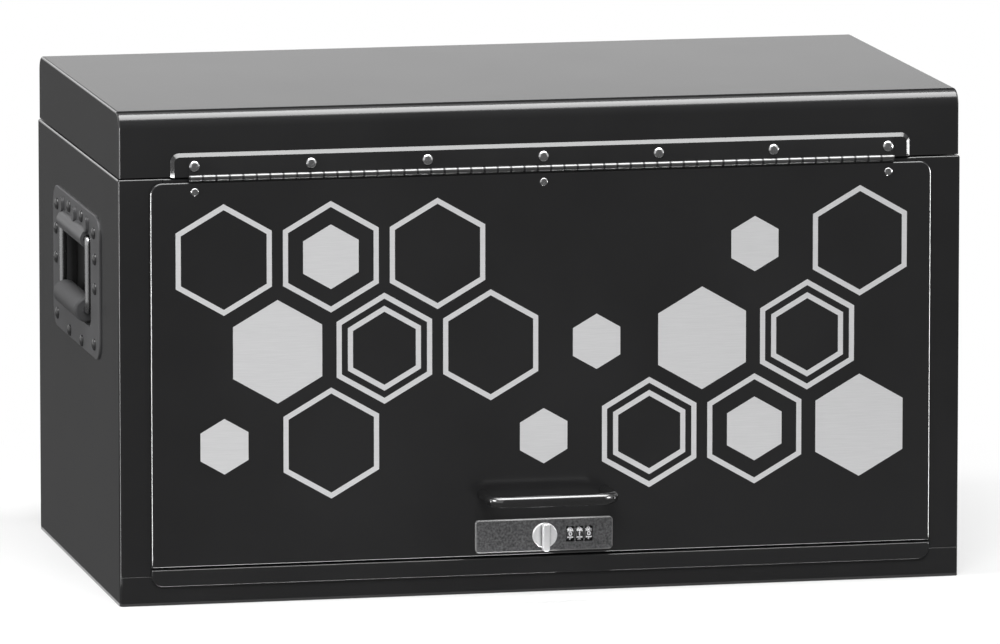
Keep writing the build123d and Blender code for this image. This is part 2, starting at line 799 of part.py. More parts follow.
# Bow handle: a bent bar, held by two screws from inside the cover
bar_y = cover_face_y - bow_reach + bow_radius
with BuildPart() as bow_handle:
    with BuildLine(Plane.XY.offset(bow_height)):
        FilletPolyline(
            (-bow_centres / 2, cover_face_y),
            (-bow_centres / 2, bar_y),
            (bow_centres / 2, bar_y),
            (bow_centres / 2, cover_face_y),
            radius=bow_bend,
        )
    with BuildSketch(front_plane(cover_face_y)):
        with Locations(bow_places[0]):
            Circle(bow_radius)
    sweep()
    with BuildSketch(front_plane(cover_face_y)):
        with Locations(*bow_places):
            Circle(bow_screw_radius + hole_clearance)
    extrude(amount=bow_screw_length, mode=Mode.SUBTRACT)
save(bow_handle, "bow_handle")
bow_screws = fasteners(
    bow_places,
    cover_back_y,
    1,
    bow_screw_head_radius,
    bow_screw_head_height,
    bow_screw_radius,
    cover_sheet + bow_screw_length - bow_screw_end_room,
)
save(bow_screws, "bow_handle_screws")

# Lock plate: cast, with a bevelled rim and a window for each number wheel
window_height = 2 * (wheel_radius**2 - (wheel_axis_y - cover_face_y) ** 2) ** 0.5 + 2 * knob_gap
with BuildPart() as lock_plate:
    with BuildSketch(front_plane(cover_face_y)):
        with Locations((0, lock_z)):
            RectangleRounded(lock_width, lock_height, lock_corner)
    extrude(amount=lock_plate_sheet)
    chamfer(lock_plate.faces().sort_by(Axis.Y)[0].edges(), lock_bevel)
    with BuildSketch(front_plane(cover_face_y)):
        with Locations(*[(x, lock_z) for x in wheel_xs]):
            Rectangle(wheel_width + 2 * knob_gap, window_height)
        with Locations((0, lock_z)):
            Circle(spindle_radius + knob_gap)
    extrude(amount=lock_plate_sheet, mode=Mode.SUBTRACT)
    with BuildSketch(front_plane(cover_face_y)):
        with Locations(*stud_places):
            Circle(stud_radius + hole_clearance)
    extrude(amount=lock_plate_sheet - lock_bevel, mode=Mode.SUBTRACT)
save(lock_plate, "lock_plate")

# Lock body: clamps the cover from behind, with a deeper case round the wheels
wheel_case_width = wheel_block_width + 2 * lock_wall
axle_length = wheel_block_width + lock_wall
with BuildPart() as lock_body:
    with BuildSketch(front_plane(cover_back_y)):
        with Locations((0, lock_z)):
            RectangleRounded(body_width, body_height, lock_corner)
    extrude(amount=-body_depth)
    with BuildSketch(front_plane(cover_back_y)):
        with Locations((wheel_middle, lock_z)):
            RectangleRounded(wheel_case_width, body_height, lock_wall)
    extrude(amount=cover_back_y - wheel_case_back_y)
    with BuildSketch(front_plane(cover_back_y)):
        with Locations((wheel_middle, lock_z)):
            Rectangle(wheel_block_width, wheel_block_height)
    extrude(amount=cover_back_y - wheel_case_back_y + lock_wall, mode=Mode.SUBTRACT)
    with BuildSketch(side_plane(wheel_middle)):
        with Locations((wheel_axis_y, lock_z)):
            Circle(axle_radius + running_clearance)
    extrude(amount=axle_length / 2, both=True, mode=Mode.SUBTRACT)
    with BuildSketch(front_plane(cover_back_y)):
        with Locations((0, lock_z)):
            Circle(spindle_radius + running_clearance)
        with Locations(*stud_places):
            Circle(stud_radius + hole_clearance)
    extrude(amount=-body_depth, mode=Mode.SUBTRACT)
save(lock_body, "lock_body")
lock_studs = fasteners(
    stud_places,
    body_back_y,
    1,
    2 * stud_radius,
    stud_radius,
    stud_radius,
    body_back_y - cover_face_y + lock_plate_sheet - lock_bevel - hole_clearance,
)
save(lock_studs, "lock_screws")

# Number wheels: ten flats each, on one axle across the wheel case
with BuildPart() as wheel_axle:
    with BuildSketch(side_plane(wheel_middle)):
        with Locations((wheel_axis_y, lock_z)):
            Circle(axle_radius)
    extrude(amount=axle_length / 2, both=True)
save(wheel_axle, "wheel_axle")
for number, x in enumerate(wheel_xs, start=1):
    with BuildPart() as number_wheel:
        with BuildSketch(side_plane(x)):
            with Locations((wheel_axis_y, lock_z)):
                RegularPolygon(wheel_radius, wheel_flats, rotation=180 / wheel_flats)
        extrude(amount=wheel_width / 2, both=True)
        chamfer(number_wheel.faces().filter_by(Axis.X).edges(), wheel_edge)
        with BuildSketch(side_plane(x)):
            with Locations((wheel_axis_y, lock_z)):
                Circle(axle_radius + running_clearance)
        extrude(amount=wheel_width / 2, both=True, mode=Mode.SUBTRACT)
    save(number_wheel, f"number_wheel_{number}")

# Lock knob: a disc with a finger bar and pointer, its spindle through plate, cover and body
knob_back_y = lock_face_y - knob_gap
knob_face_y = knob_back_y - knob_sheet
spindle_end_y = cam_front_y + cam_sheet + nut_height
with BuildPart() as lock_knob:
    with BuildSketch(front_plane(knob_back_y)):
        with Locations((0, lock_z)):
            Circle(knob_radius)
    extrude(amount=knob_sheet)
    fillet(lock_knob.faces().sort_by(Axis.Y)[0].edges(), knob_sheet / 3)
    with BuildSketch(front_plane(knob_face_y)) as bar:
        with Locations((0, lock_z - knob_pointer / 2)):
            RectangleRounded(knob_bar_width, 2 * knob_radius + knob_pointer, knob_bar_width / 3)
    extrude(amount=knob_bar_height)
    fillet(lock_knob.faces().sort_by(Axis.Y)[0].edges(), knob_bar_width / 5)
    with BuildSketch(front_plane(knob_back_y)):
        with Locations((0, lock_z)):
            Circle(spindle_radius)
    extrude(amount=knob_back_y - spindle_end_y)
save(lock_knob, "lock_knob")

# Lock cam and its nut: the arm lies across when open and turns down behind the lip
with BuildPart() as lock_cam:
    with BuildSketch(front_plane(cam_front_y)):
        with Locations((0, lock_z)):
            Circle(cam_width / 2)
        with Locations((-cam_reach / 2, lock_z)):
            Rectangle(cam_reach, cam_width)
        with Locations((0, lock_z)):
            Circle(spindle_radius + running_clearance, mode=Mode.SUBTRACT)
    extrude(amount=-cam_sheet)
save(lock_cam, "lock_cam")
with BuildPart() as cam_nut:
    with BuildSketch(front_plane(cam_front_y + cam_sheet)):
        with Locations((0, lock_z)):
            RegularPolygon(nut_across / 2, 6, major_radius=False)
            Circle(spindle_radius + running_clearance, mode=Mode.SUBTRACT)
    extrude(amount=-nut_height)
save(cam_nut, "cam_nut")


def outward_plane(x):
    """Sketch plane on the left side that faces outwards, with Z up."""
    return Plane(origin=(x, 0, 0), x_dir=(0, -1, 0), z_dir=(-1, 0, 0))


# Handle plates: pressed, with a dish for the fingers, a hood over the bail and three ribs
rib_z = pivot_z + rib_foot + rib_length / 2
with BuildPart() as left_handle_plate:
    with BuildSketch(outward_plane(-half_width)):
        with Locations((0, handle_height)):
            RectangleRounded(dish_plate_width, dish_plate_height, dish_plate_corner)
    extrude(amount=dish_plate_sheet)
    fillet(left_handle_plate.faces().sort_by(Axis.X)[0].edges(), dish_plate_sheet / 2)
    with BuildSketch(outward_plane(-half_width)):
        with Locations((0, dish_z)):
            RectangleRounded(dish_width, dish_height, dish_corner)
    extrude(amount=-dish_depth, taper=dish_draft)
    with BuildSketch(outward_plane(dish_face_x)):
        with Locations((0, dish_z)):
            RectangleRounded(
                dish_width - 2 * dish_plate_sheet,
                dish_height - 2 * dish_plate_sheet,
                dish_corner - dish_plate_sheet,
            )
    extrude(amount=-dish_depth, taper=dish_draft, mode=Mode.SUBTRACT)
    with BuildSketch(Plane.XZ):
        with Locations((dish_face_x + hood_sink, pivot_z)):
            Circle(hood_radius)
        with Locations((dish_face_x + hood_radius, pivot_z)):
            Rectangle(2 * hood_radius, 2 * hood_radius, mode=Mode.SUBTRACT)
        with Locations((dish_face_x, pivot_z)):
            Circle(eye_radius)
    extrude(amount=hood_length / 2, both=True)
    with BuildSketch(outward_plane(dish_face_x)):
        with Locations(*[(i * rib_pitch, rib_z) for i in (-1, 0, 1)]):
            SlotOverall(rib_length, rib_width, rotation=90)
    extrude(amount=rib_rise)
    with BuildSketch(Plane.XZ):
        with Locations((dish_face_x, pivot_z)):
            Circle(bail_radius + bail_bore_gap)
    extrude(amount=hood_length / 2, both=True, mode=Mode.SUBTRACT)
    with BuildSketch(outward_plane(dish_face_x)):
        with Locations(*rivet_places):
            Circle(rivet_radius + hole_clearance)
    extrude(amount=-dish_plate_sheet, mode=Mode.SUBTRACT)
save(left_handle_plate, "left_handle_plate")
save_mirrored(left_handle_plate, "right_handle_plate")

# Handle rivets: bevelled heads outside, set over inside the side panel
with BuildPart() as handle_rivets:
    with BuildSketch(outward_plane(dish_face_x)):
        with Locations(*rivet_places):
            Circle(rivet_head_radius)
    extrude(amount=rivet_head_height)
    heads = handle_rivets.faces().sort_by(Axis.X)[: len(rivet_places)]
    chamfer(heads.edges(), rivet_bevel)
    with BuildSketch(outward_plane(dish_face_x)):
        with Locations(*rivet_places):
            Circle(rivet_radius)
    extrude(amount=-dish_plate_sheet - sheet - rivet_tail_height)
    with BuildSketch(outward_plane(-half_width + sheet)):
        with Locations(*rivet_places):
            Circle(rivet_tail_radius)
    extrude(amount=-rivet_tail_height)
    mirror(about=Plane.YZ)
save(handle_rivets, "handle_rivets")

# Bails: wire bent into a loop, its ends turned into the hood, with a rubber grip below
stub_y = bail_span / 2 - bail_stub
with BuildPart() as left_bail:
    with BuildLine(side_plane(dish_face_x)):
        FilletPolyline(
            (-stub_y, pivot_z),
            (-bail_span / 2, pivot_z),
            (-bail_span / 2, grip_height),
            (bail_span / 2, grip_height),
            (bail_span / 2, pivot_z),
            (stub_y, pivot_z),
            radius=[bail_top_bend, bail_low_bend, bail_low_bend, bail_top_bend],
        )
    with BuildSketch(front_plane(-stub_y)):
        with Locations((dish_face_x, pivot_z)):
            Circle(bail_radius)
    sweep()
save(left_bail, "left_bail")
save_mirrored(left_bail, "right_bail")
with BuildPart() as left_grip:
    with BuildSketch(Plane.XZ):
        with Locations((dish_face_x, grip_height)):
            Circle(grip_radius)
    extrude(amount=grip_length / 2, both=True)
    fillet(left_grip.edges().filter_by(GeomType.CIRCLE), grip_edge)
    with BuildSketch(Plane.XZ):
        with Locations((dish_face_x, grip_height)):
            Circle(bail_radius + running_clearance)
    extrude(amount=grip_length / 2, both=True, mode=Mode.SUBTRACT)
save(left_grip, "left_grip")
save_mirrored(left_grip, "right_grip")
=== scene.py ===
import math

import bmesh
import bpy
from mathutils import Matrix, Vector


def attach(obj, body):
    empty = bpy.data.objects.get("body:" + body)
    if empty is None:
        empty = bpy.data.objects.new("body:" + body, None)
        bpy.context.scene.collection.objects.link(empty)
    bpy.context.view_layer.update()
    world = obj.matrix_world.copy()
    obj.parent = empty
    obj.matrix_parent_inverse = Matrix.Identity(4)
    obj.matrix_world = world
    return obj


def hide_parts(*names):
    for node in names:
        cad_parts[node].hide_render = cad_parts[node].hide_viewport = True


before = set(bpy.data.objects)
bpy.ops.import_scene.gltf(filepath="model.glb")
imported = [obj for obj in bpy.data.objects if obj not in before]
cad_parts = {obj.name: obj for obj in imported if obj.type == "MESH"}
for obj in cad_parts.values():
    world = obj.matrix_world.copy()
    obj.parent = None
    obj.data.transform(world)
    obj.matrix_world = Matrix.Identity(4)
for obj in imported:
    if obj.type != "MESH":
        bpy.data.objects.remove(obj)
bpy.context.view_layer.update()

# Case: side panels, back, base, rails and till floor of folded steel sheet, about 1 mm thick.
# All of it is sprayed with one gloss black powder coat, which dries with a faint orange peel.
# On the bottom rail the coat rounds the cut edges, so that they catch a line of light.
mm = 0.001


def feed(tree, node, inputs):
    """Links a node's inputs to sockets, or sets them to plain values."""
    for label, source in inputs.items():
        if isinstance(source, bpy.types.NodeSocket):
            tree.links.new(source, node.inputs[label])
        else:
            node.inputs[label].default_value = source


def add_node(tree, kind, inputs=None, **settings):
    """A new node with its settings made and its inputs fed."""
    node = tree.nodes.new(kind)
    for setting, choice in settings.items():
        setattr(node, setting, choice)
    feed(tree, node, inputs or {})
    return node


def grey(level, blue=1.0):
    """A grey, with its blue a little stronger where asked."""
    return (level, level, level * blue, 1)


def coat(
    name, dark, light, smooth, rough, peel_size, peel_depth, shine=0.5, metallic=0.0, drift_size=110 * mm
):
    """Sprayed finish: colour and gloss drift over it, and a fine peel lies on top."""
    finish = bpy.data.materials.new(name)
    finish.use_nodes = True
    tree = finish.node_tree
    place = add_node(tree, "ShaderNodeTexCoord").outputs["Object"]
    drift = add_node(
        tree, "ShaderNodeTexNoise", {"Vector": place, "Scale": 1 / drift_size, "Detail": 5.0}
    ).outputs["Fac"]
    clouds = add_node(tree, "ShaderNodeMapRange", {"Value": drift, "From Min": 0.32, "From Max": 0.68})
    tone = add_node(
        tree,
        "ShaderNodeMix",
        {"Factor": clouds.outputs["Result"], "A": grey(dark, blue=1.03), "B": grey(light, blue=1.03)},
        data_type="RGBA",
    )
    gloss = add_node(tree, "ShaderNodeMapRange", {"Value": drift, "To Min": smooth, "To Max": rough})
    peel = add_node(tree, "ShaderNodeTexNoise", {"Vector": place, "Scale": 1 / peel_size, "Detail": 2.0})
    bump = add_node(
        tree, "ShaderNodeBump", {"Height": peel.outputs["Fac"], "Strength": 0.35, "Distance": peel_depth}
    )
    feed(
        tree,
        tree.nodes["Principled BSDF"],
        {
            "Base Color": tone.outputs["Result"],
            "Metallic": metallic,
            "Roughness": gloss.outputs["Result"],
            "Specular IOR Level": shine,
            "Normal": bump.outputs["Normal"],
        },
    )
    return finish


def dress(finish, *names):
    """Gives the named nodes of the frame a finish."""
    for name in names:
        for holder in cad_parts[name].material_slots:
            holder.material = finish


black_coat = coat(
    "black_coat", dark=0.0155, light=0.0195, smooth=0.13, rough=0.17, peel_size=2.2 * mm, peel_depth=0.006 * mm
)
dress(
    black_coat,
    "left_side_panel",
    "right_side_panel",
    "back_panel",
    "base_pan",
    "top_rail",
    "till_floor",
    "till_edging",
)
rail_coat = black_coat.copy()
rail_coat.name = "rail_coat"
rail_tree = rail_coat.node_tree
rail_edge = add_node(rail_tree, "ShaderNodeBevel", {"Radius": 0.9 * mm}, samples=6)
feed(rail_tree, rail_tree.nodes["Bump"], {"Normal": rail_edge.outputs["Normal"]})
dress(rail_coat, "bottom_rail")


# Runner supports, dividers and runners: rolled channels of zinc-plated steel inside the case.
# They are spot welded to the sheets and carry the marks of the rolling along their length.
def plated(name, dark, light, smooth, rough, grain, metallic=1.0):
    """Bright metal with fine lines, so many to the metre along each axis, and a cloudy gloss."""
    finish = bpy.data.materials.new(name)
    finish.use_nodes = True
    tree = finish.node_tree
    place = add_node(tree, "ShaderNodeTexCoord").outputs["Object"]
    lines_place = add_node(tree, "ShaderNodeMapping", {"Vector": place, "Scale": grain})
    lines = add_node(
        tree, "ShaderNodeTexNoise", {"Vector": lines_place.outputs["Vector"], "Scale": 1.0, "Detail": 4.0}
    ).outputs["Fac"]
    tone = add_node(
        tree,
        "ShaderNodeMix",
        {"Factor": lines, "A": grey(dark, blue=1.01), "B": grey(light, blue=1.01)},
        data_type="RGBA",
    )
    gloss = add_node(tree, "ShaderNodeMapRange", {"Value": lines, "To Min": smooth, "To Max": rough})
    feed(
        tree,
        tree.nodes["Principled BSDF"],
        {
            "Base Color": tone.outputs["Result"],
            "Metallic": metallic,
            "Roughness": gloss.outputs["Result"],
        },
    )
    return finish


rolled_zinc = plated("rolled_zinc", dark=0.42, light=0.58, smooth=0.25, rough=0.45, grain=(900, 25, 900))
dress(rolled_zinc, "runner_supports", "drawer_dividers", "cabinet_runners")

# Drawers: folded boxes with a front whose top edge turns forward into a pull.
# Satin black inside and out, on zinc-plated channel runners.
satin_coat = coat(
    "satin_coat",
    dark=0.02,
    light=0.027,
    smooth=0.36,
    rough=0.46,
    peel_size=1.6 * mm,
    peel_depth=0.02 * mm,
    shine=0.4,
)
for number in range(1, 7):
    dress(satin_coat, f"drawer_{number}_box", f"drawer_{number}_front")
    dress(rolled_zinc, f"drawer_{number}_runners")

# Lid: one sheet bent over the front, top and back, with a pressed cap welded on each end.
# A raised pad is pressed along the front to carry the cover's hinge.
dress(black_coat, "lid_shell", "lid_ends")

# Lid hinge: a piano hinge of rolled steel strip across the back, riveted to lid and case.
# The leaves are sprayed with the case, their knuckles rub bright, and the rivets are nickelled.
hinge_coat = coat(
    "hinge_coat", dark=0.016, light=0.024, smooth=0.12, rough=0.2, peel_size=1.5 * mm, peel_depth=0.005 * mm
)
pin_height = 329.5 * mm
lid_pin_y = 181.8 * mm
lid_knuckles = 23
barrel_half = 276 * mm
barrel_worn = 2.45 * mm
barrel_coated = 2.75 * mm
gap_coated = 0.5 * mm
gap_worn = 1.2 * mm


def blend_in(tree, socket, amount, other):
    """Blends what feeds a socket of the finish with a plain value, by an amount."""
    target = tree.nodes["Principled BSDF"].inputs[socket]
    mix = add_node(
        tree,
        "ShaderNodeMix",
        {"Factor": amount, "A": target.links[0].from_socket, "B": other},
        data_type="FLOAT" if target.type == "VALUE" else "RGBA",
    )
    tree.links.new(mix.outputs["Result"], target)


def worn_barrel(name, pin_y, knuckles):
    """The hinge coat, rubbed down to the steel on the middle of each knuckle."""
    finish = hinge_coat.copy()
    finish.name = name
    tree = finish.node_tree
    place = tree.nodes["Texture Coordinate"].outputs["Object"]
    off = add_node(
        tree, "ShaderNodeVectorMath", {0: place, 1: (0, pin_y, pin_height)}, operation="SUBTRACT"
    ).outputs["Vector"]
    across = add_node(tree, "ShaderNodeVectorMath", {0: off, 1: (0, 1, 1)}, operation="MULTIPLY")
    radius = add_node(tree, "ShaderNodeVectorMath", {0: across.outputs["Vector"]}, operation="LENGTH")
    along = add_node(tree, "ShaderNodeSeparateXYZ", {"Vector": off})
    from_end = add_node(tree, "ShaderNodeMath", {0: along.outputs["X"], 1: barrel_half}, operation="ADD")
    from_gap = add_node(
        tree, "ShaderNodeMath", {0: from_end.outputs["Value"], 1: barrel_half / knuckles}, operation="PINGPONG"
    )
    rubbed = add_node(
        tree,
        "ShaderNodeMapRange",
        {"Value": from_gap.outputs["Value"], "From Min": gap_coated, "From Max": gap_worn},
    )
    wear = add_node(
        tree,
        "ShaderNodeMapRange",
        {
            "Value": radius.outputs["Value"],
            "From Min": barrel_coated,
            "From Max": barrel_worn,
            "To Max": rubbed.outputs["Result"],
        },
    ).outputs["Result"]
    feed(tree, tree.nodes["Principled BSDF"], {"Metallic": wear})
    blend_in(tree, "Base Color", wear, grey(0.16))
    blend_in(tree, "Roughness", wear, 0.32)
    return finish


dress(worn_barrel("lid_barrel", lid_pin_y, lid_knuckles), "lid_hinge_lower_leaf", "lid_hinge_upper_leaf")
dress(hinge_coat, "lid_hinge_pin")
nickel = plated("nickel", dark=0.45, light=0.6, smooth=0.16, rough=0.28, grain=(700, 700, 700))


def set_up(name, data):
    """A new object in the scene, at the origin and unturned."""
    piece = bpy.data.objects.new(name, data)
    bpy.context.scene.collection.objects.link(piece)
    return piece


def to_mesh(name, shape, *finishes):
    """Makes a shape into a mesh with its finishes, and lets the shape go."""
    mesh = bpy.data.meshes.new(name)
    shape.to_mesh(mesh)
    shape.free()
    for finish in finishes:
        mesh.materials.append(finish)
    return mesh


def turned(name, rings, sides):
    """A round piece along Z from rings of (radius or radius by angle, height), closed at both ends."""
    shape = bmesh.new()
    loops = []
    for radius, height in rings:
        loop = []
        for step in range(sides):
            angle = 2 * math.pi * step / sides
            reach = radius(angle) if callable(radius) else radius
            loop.append(shape.verts.new((reach * math.cos(angle), reach * math.sin(angle), height)))
        loops.append(loop)
    for low, high in zip(loops, loops[1:]):
        for step in range(sides):
            after = (step + 1) % sides
            shape.faces.new((low[step], low[after], high[after], high[step]))
    shape.faces.new(loops[0][::-1])
    shape.faces.new(loops[-1])
    bmesh.ops.recalc_face_normals(shape, faces=shape.faces)
    return to_mesh(name, shape)


def shade(mesh, crease=math.radians(38)):
    """Shades a mesh smooth, with its folds kept sharp."""
    mesh.polygons.foreach_set("use_smooth", [True] * len(mesh.polygons))
    mesh.set_sharp_from_angle(angle=crease)


def fastener_tree():
    """Sets one head on every place, spins each about its own axis and gives all a finish."""
    tree = bpy.data.node_groups.new("FastenerRow", "GeometryNodeTree")
    sockets = {}
    for label, kind in (
        ("Places", "NodeSocketGeometry"),
        ("Head", "NodeSocketObject"),
        ("Facing", "NodeSocketVector"),
        ("Spin seed", "NodeSocketInt"),
        ("Finish", "NodeSocketMaterial"),
    ):
        sockets[label] = tree.interface.new_socket(label, in_out="INPUT", socket_type=kind).identifier
    tree.interface.new_socket("Row", in_out="OUTPUT", socket_type="NodeSocketGeometry")
    given = add_node(tree, "NodeGroupInput")
    head = add_node(tree, "GeometryNodeObjectInfo", {"Object": given.outputs["Head"]})
    # Input 3 is the greatest number and output 1 the number itself, when the node draws plain numbers
    spin = add_node(
        tree,
        "FunctionNodeRandomValue",
        {3: 2 * math.pi, "Seed": given.outputs["Spin seed"]},
        data_type="FLOAT",
    )
    spin_turn = add_node(
        tree, "FunctionNodeAxisAngleToRotation", {"Axis": (0, 0, 1), "Angle": spin.outputs[1]}
    )
    facing = add_node(tree, "FunctionNodeEulerToRotation", {"Euler": given.outputs["Facing"]})
    both = add_node(
        tree,
        "FunctionNodeRotateRotation",
        {"Rotation": facing.outputs["Rotation"], "Rotate By": spin_turn.outputs["Rotation"]},
        rotation_space="LOCAL",
    )
    place = add_node(
        tree,
        "GeometryNodeInstanceOnPoints",
        {
            "Points": given.outputs["Places"],
            "Instance": head.outputs["Geometry"],
            "Rotation": both.outputs["Rotation"],
        },
    )
    real = add_node(tree, "GeometryNodeRealizeInstances", {"Geometry": place.outputs["Instances"]})
    dressed = add_node(
        tree,
        "GeometryNodeSetMaterial",
        {"Geometry": real.outputs["Geometry"], "Material": given.outputs["Finish"]},
    )
    add_node(tree, "NodeGroupOutput", {"Row": dressed.outputs["Geometry"]})
    return tree, sockets


row_tree, row_sockets = fastener_tree()
to_front = (math.pi / 2, 0, 0)
to_back = (-math.pi / 2, 0, 0)
to_left = (0, -math.pi / 2, 0)
to_right = (0, math.pi / 2, 0)


def fastener_row(name, places, head_mesh, facing, seed, finish):
    """One plain mesh of fasteners at the given places."""
    head = set_up(name + "_head", head_mesh)
    spots = bpy.data.meshes.new(name)
    spots.from_pydata(places, [], [])
    row = set_up(name, spots)
    step = row.modifiers.new("Row", "NODES")
    step.node_group = row_tree
    step[row_sockets["Head"]] = head
    step[row_sockets["Facing"]] = facing
    step[row_sockets["Spin seed"]] = seed
    step[row_sockets["Finish"]] = finish
    graph = bpy.context.evaluated_depsgraph_get()
    mesh = bpy.data.meshes.new_from_object(row.evaluated_get(graph))
    row.modifiers.clear()
    row.data = mesh
    shade(mesh)
    bpy.data.objects.remove(head)
    return row


def fit(piece, body, slot, *nodes):
    """Lets a piece ride on a body in place of the nodes it stands for."""
    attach(piece, body)
    if nodes:
        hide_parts(*nodes)


def rivet(name, head, height, shank, length):
    """A domed rivet: its dome on a low straight rim above the seat, and its shank below."""
    rim = 0.12
    dome = [
        (head * math.cos(lift), height * (rim + (1 - rim) * math.sin(lift)))
        for lift in (math.radians(degrees) for degrees in range(0, 85, 12))
    ]
    return turned(name, [(shank, -length), (shank, 0), (head, 0)] + dome, sides=28)


fastener_pitch = 90.5 * mm
hinge_xs = [fastener_pitch * step for step in range(-3, 4)]
lid_leaf_face = 180.2 * mm
rivet_from_pin = 10 * mm
hinge_rivet = rivet("hinge_rivet", head=3.3 * mm, height=1.4 * mm, shank=1.6 * mm, length=3.2 * mm)
for body, node, height, seed in (
    ("case", "lid_hinge_lower_rivets", pin_height - rivet_from_pin, 3),
    ("lid", "lid_hinge_upper_rivets", pin_height + rivet_from_pin, 4),
):
    places = [(x, lid_leaf_face, height) for x in hinge_xs]
    rivets = fastener_row(node + "_row", places, hinge_rivet, to_back, seed, finish=nickel)
    fit(rivets, body, "bright_fastener", node)

# Cover hinge: a second piano hinge along the lid's front, which the cover hangs from.
# Button-head socket screws hold its upper leaf on the pad, small cross-head ones the cover.
cover_pin_y = -185.4 * mm
cover_knuckles = 53
dress(
    worn_barrel("cover_barrel", cover_pin_y, cover_knuckles),
    "cover_hinge_upper_leaf",
    "cover_hinge_lower_leaf",
)
dress(hinge_coat, "cover_hinge_pin")
dress(rolled_zinc, "cover_hinge_nuts")


def hexagon(flat):
    """Radius by angle of a hexagon with this distance from its middle to a flat."""
    return lambda angle: flat / math.cos(angle % (math.pi / 3) - math.pi / 6)


def cross(arm, half):
    """Radius by angle of a cross with arms of this length and half width."""

    def reach(angle):
        off = abs((angle + math.pi / 4) % (math.pi / 2) - math.pi / 4)
        return arm / math.cos(off) if math.tan(off) < half / arm else half / math.sin(off)

    return reach


pad_leaf_face = -183.8 * mm
pad_screw_height = 338.4 * mm
button_screw = turned(
    "button_screw",
    [
        (2.0 * mm, -7.2 * mm),
        (2.0 * mm, 0),
        (4.3 * mm, 0),
        (4.3 * mm, 0.45 * mm),
        (4.0 * mm, 1.1 * mm),
        (3.3 * mm, 1.75 * mm),
        (2.5 * mm, 2.1 * mm),
        (2.1 * mm, 2.2 * mm),
        (hexagon(1.5 * mm), 2.2 * mm),
        (hexagon(1.45 * mm), 0.9 * mm),
        (0.3 * mm, 0.7 * mm),
    ],
    sides=36,
)
places = [(x, pad_leaf_face, pad_screw_height) for x in hinge_xs]
upper_screws = fastener_row("pad_screws", places, button_screw, to_front, seed=7, finish=nickel)
fit(upper_screws, "lid", "bright_fastener", "cover_hinge_upper_screws")
cover_face = -185.0 * mm
cover_screw_height = 318.9 * mm
cross_screw = turned(
    "cross_screw",
    [
        (2.0 * mm, -3.6 * mm),
        (2.0 * mm, 0),
        (3.2 * mm, 0),
        (3.2 * mm, 0.3 * mm),
        (2.9 * mm, 0.75 * mm),
        (2.3 * mm, 1.1 * mm),
        (1.9 * mm, 1.2 * mm),
        (cross(1.7 * mm, 0.42 * mm), 1.2 * mm),
        (cross(1.5 * mm, 0.34 * mm), 0.35 * mm),
        (0.2 * mm, 0.2 * mm),
    ],
    sides=48,
)
places = [(x, cover_face, cover_screw_height) for x in (hinge_xs[0], 0, hinge_xs[-1])]
lower_screws = fastener_row("cover_screws", places, cross_screw, to_front, seed=9, finish=nickel)
fit(lower_screws, "cover", "bright_fastener", "cover_hinge_lower_screws")

# Front cover: a flat pan of steel with its edges folded back, sprayed like the case.
# A honeycomb of brushed silver foil is laid on it, thin as a sticker.
dress(black_coat, "front_cover")
silver_foil = plated(
    "silver_foil", dark=0.62, light=0.76, smooth=0.3, rough=0.42, grain=(60, 900, 2600), metallic=0.08
)
foil_sheet = 0.12 * mm
foil_line = 4.6 * mm
cell = 43 * mm
top_row = 266 * mm
row_rise = 72 * mm
column_pitch = 83.1 * mm
# Cells of the honeycomb: row, column, and what is in it
cells = [
    (0, -3, "ring"),
    (0, -2, "target"),
    (0, -1, "ring"),
    (0, 2, "small"),
    (0, 3, "ring"),
    (1, -2.5, "full"),
    (1, -1.5, "double"),
    (1, -0.5, "ring"),
    (1, 0.5, "small"),
    (1, 1.5, "full"),
    (1, 2.5, "double"),
    (2, -3, "small"),
    (2, -2, "ring"),
    (2, 0, "small"),
    (2, 1, "double"),
    (2, 2, "target"),
    (2, 3, "full"),
]
# Outer and inner reach of each hexagon that a cell is made of
foil_rings = {
    "ring": [(cell, cell - foil_line)],
    "double": [(cell, cell - foil_line), (cell - 2.2 * foil_line, cell - 3.2 * foil_line)],
    "target": [(cell, cell - foil_line), (cell * 0.58, 0)],
    "full": [(cell * 0.93, 0)],
    "small": [(cell * 0.5, 0)],
}


def foil_hexagon(shape, middle_x, middle_z, outer, inner):
    """A flat hexagon of foil, or a band of it where inner isn't zero."""

    def loop(reach, depth):
        turns = [math.pi / 3 * step for step in range(6)]
        return [
            shape.verts.new((middle_x + reach * math.sin(t), cover_face - depth, middle_z + reach * math.cos(t)))
            for t in turns
        ]

    def band(first, second):
        for step in range(6):
            after = (step + 1) % 6
            shape.faces.new((first[step], first[after], second[after], second[step]))

    back_out = loop(outer, 0)
    if inner:
        back_in = loop(inner, 0)
        face_out = loop(outer, foil_sheet)
        face_in = loop(inner, foil_sheet)
        band(back_out, face_out)
        band(face_out, face_in)
        band(face_in, back_in)
        band(back_in, back_out)
    else:
        face_out = loop(outer, foil_sheet)
        band(back_out, face_out)
        shape.faces.new(face_out)
        shape.faces.new(back_out[::-1])


foil = bmesh.new()
for row, column, kind in cells:
    for outer, inner in foil_rings[kind]:
        foil_hexagon(foil, column * column_pitch, top_row - row * row_rise, outer, inner)
bmesh.ops.recalc_face_normals(foil, faces=foil.faces)
foil_piece = set_up("cover_foil", to_mesh("cover_foil", foil, silver_foil))
fit(foil_piece, "cover", "bright_fastener")

# Bow handle: a round bar bent at both ends, enamelled in high gloss black.
# Two screws from inside the cover hold its feet.
bow_enamel = coat(
    "bow_enamel",
    dark=0.012,
    light=0.016,
    smooth=0.05,
    rough=0.09,
    peel_size=3 * mm,
    peel_depth=0.006 * mm,
    shine=1.0,
)
dress(bow_enamel, "bow_handle")
dress(rolled_zinc, "bow_handle_screws")

